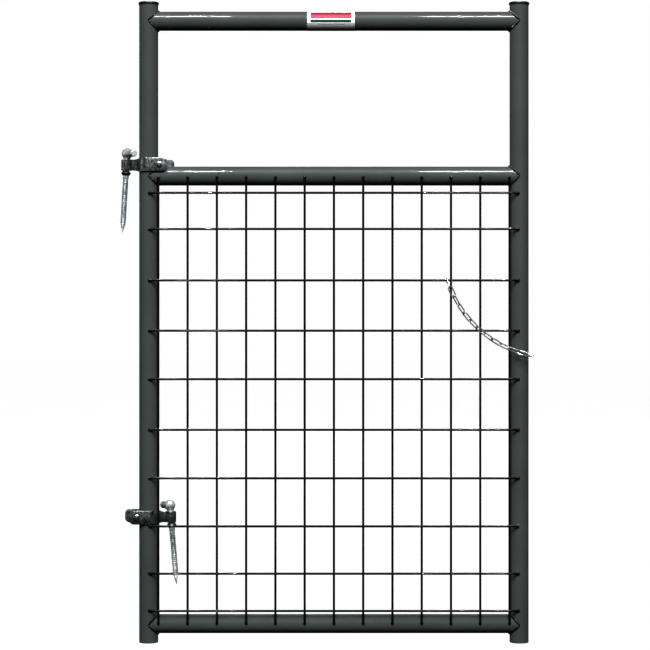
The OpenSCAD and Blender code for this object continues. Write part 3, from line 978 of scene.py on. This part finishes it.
def link_path(steps=14):
    """The middle line of an oval link, centred, with its length along X."""
    path = []
    for side in (1, -1):
        for k in range(steps + 1):
            a = math.radians(-90 + 180 * k / steps)
            path.append((side * (LINK_STRAIGHT / 2 + LINK_BEND_R * math.cos(a)),
                         side * LINK_BEND_R * math.sin(a), 0))
        for k in range(1, 10):
            path.append((side * (LINK_STRAIGHT / 2 - LINK_STRAIGHT * k / 10), side * LINK_BEND_R, 0))
    return path


def link_shape():
    """A link of round wire with a small upset at its weld, midway along one side."""
    path = link_path()
    radii = []
    for x, y, _ in path:
        near = math.exp(-((x / (1.5 * MM)) ** 2)) if y > 0 else 0.0
        radii.append(LINK_WIRE_R * (1 + 0.2 * near))
    return sweep(path, radii, 16, closed=True)


def fitted_place(node):
    """A CAD chain piece's own frame, from its mesh: X along its length, Z across its plane."""
    points = np.array([v.co for v in frame["nodes"][node].data.vertices], float)
    spread = points - points.mean(0)
    vectors = np.linalg.eigh(spread.T @ spread)[1]
    x = Vector(vectors[:, 2])
    if x.x < 0:
        x = -x
    z = Vector(vectors[:, 0])
    y = z.cross(x)
    place = Matrix((x, y, z)).transposed().to_4x4()
    projected = points @ np.array([x, y, z]).T
    middle = (projected.min(0) + projected.max(0)) / 2
    place.translation = x * middle[0] + y * middle[1] + z * middle[2]
    return place


def build_link(node):
    shape = Shape()
    shape.add(*link_shape(), fitted_place(node))
    make_piece(f"{node}_steel", shape, node, [node], shiny=False)


# ---------------------------------------------------------------- floor and light


FLOOR_R = 30.0
FLOOR_GAP = 0.2 * MM


def floor_material():
    """A pale floor that gives its own light: one lit past white would eat the thin wires' edges."""
    n = Nodes("floor")
    drift = n.noise(3.0, 2.0)
    tone = n.ramp(drift, [(0.3, 0.9653), (0.7, 0.98)])
    dull = n.ramp(drift, [(0.3, 0.010), (0.7, 0.012)])
    n.set(Base_Color=dull, Roughness=0.9, Specular_IOR_Level=0.0, Emission_Color=tone, Emission_Strength=1.02)
    return n.material


def make_stage():
    """A round floor under the gate, kept out of the reflections."""
    sides = 64
    middle = (cad_low + cad_high) / 2
    turns = [2 * math.pi * k / sides for k in range(sides)]
    verts = [(middle.x + FLOOR_R * math.cos(a), middle.y + FLOOR_R * math.sin(a), cad_low.z - FLOOR_GAP)
             for a in turns]
    mesh = bpy.data.meshes.new("floor")
    mesh.from_pydata(verts, [], [tuple(range(sides))])
    mesh.materials.append(floor_material())
    floor = bpy.data.objects.new("floor", mesh)
    bpy.context.scene.collection.objects.link(floor)
    floor.visible_glossy = False
    floor.visible_diffuse = False


def area_light(name, place, target, size, watts, glossy=True, diffuse=True, only=None):
    data = bpy.data.lights.new(name, "AREA")
    data.shape = "RECTANGLE"
    data.size, data.size_y = size
    data.energy = watts
    light = bpy.data.objects.new(name, data)
    light.location = place
    light.rotation_mode = "QUATERNION"
    light.rotation_quaternion = (Vector(target) - Vector(place)).to_track_quat("-Z", "Y")
    light.visible_glossy = glossy
    light.visible_diffuse = diffuse
    light.visible_camera = False
    if only:
        light.light_linking.receiver_collection = only
    bpy.context.scene.collection.objects.link(light)


def make_world():
    """White where the camera looks past the floor, and almost dark in lighting and reflections."""
    world = bpy.data.worlds.new("studio")
    world.use_nodes = True
    tree = world.node_tree
    dim = tree.nodes["Background"]
    dim.inputs["Color"].default_value = (0.9, 0.95, 1.0, 1)
    dim.inputs["Strength"].default_value = 0.02
    white = tree.nodes.new("ShaderNodeBackground")
    white.inputs["Color"].default_value = (1, 1, 1, 1)
    rays = tree.nodes.new("ShaderNodeLightPath")
    mix = tree.nodes.new("ShaderNodeMixShader")
    tree.links.new(rays.outputs["Is Camera Ray"], mix.inputs["Fac"])
    tree.links.new(dim.outputs["Background"], mix.inputs[1])
    tree.links.new(white.outputs["Background"], mix.inputs[2])
    tree.links.new(mix.outputs["Shader"], tree.nodes["World Output"].inputs["Surface"])
    bpy.context.scene.world = world


MIDDLE = ((cad_low.x + cad_high.x) / 2, 0, 0.9)

# Name, place, size, watts: broad lights, which show no reflection of themselves
SOFT_LIGHTS = [
    ("key_soft", (0.5, -9.5, 9.5), (6.5, 6.5), 4900.0),
    ("back_soft", (0.5, 9.5, 4.5), (5.0, 4.0), 2600.0),
    ("side_right", (9.0, 6.0, 3.0), (4.0, 4.0), 700.0),
    ("side_left", (-8.0, 6.0, 3.0), (4.0, 4.0), 700.0),
]
# Thin strips that only draw the bright line along the rails' tops, with a gap in the middle
STRIP_LIGHTS = [
    ("strip_left", (-0.59, -2.6, 5.2), (1.2, 0.05), 560.0),
    ("strip_right", (1.78, -2.6, 5.2), (1.64, 0.05), 765.0),
]
# Panels that only the zinc pieces reflect
ZINC_LIGHTS = [
    ("zinc_front", (-0.6, -6.0, 2.4), (3.2, 4.6), 26.0),
    ("zinc_top", (0.5, -0.6, 5.2), (5.0, 2.0), 60.0),
    ("zinc_left", (-4.6, -1.4, 1.4), (2.2, 4.0), 34.0),
    ("zinc_right", (5.6, -2.2, 1.4), (2.2, 4.0), 20.0),
    ("zinc_back", (0.5, 6.0, 2.4), (3.2, 4.6), 30.0),
]


def make_light():
    make_world()
    for name, place, size, watts in SOFT_LIGHTS:
        area_light(name, place, MIDDLE, size, watts, glossy=False)
    for name, place, size, watts in STRIP_LIGHTS:
        area_light(name, place, (place[0], 0, MIDDLE[2]), size, watts, diffuse=False)
    for name, place, size, watts in ZINC_LIGHTS:
        area_light(name, place, MIDDLE, size, watts, diffuse=False, only=ZINC_PIECES)


def main():
    for node in STILES:
        build_stile(node)
    for node in ("top_rail", "mid_rail", "bottom_rail"):
        build_rail(node)
    for node in ("hinge_stile_cap", "latch_stile_cap"):
        build_cap(node)
    for k, node in enumerate(BAR_NODES):
        build_bar(node, 1.3 * k)
    for k, node in enumerate(ROW_NODES):
        build_row(node, 40 + 1.7 * k)
    for which in ("upper", "lower"):
        build_strap(which)
        build_bolt(which)
        build_washer(which)
        build_nut(which)
        build_hook(which)
        build_retainer(which)
    for node in numbered("chain_link_"):
        build_link(node)
    for node in ("label", "chain_end_loop"):
        cad = frame["nodes"][node].data
        cad.materials.clear()
        cad.materials.append(MATERIALS[SLOT_OF[node]])
    make_stage()
    make_light()
    view = bpy.context.scene.view_settings
    view.view_transform = "Standard"
    view.look = "None"
    view.gamma = 0.7


main()
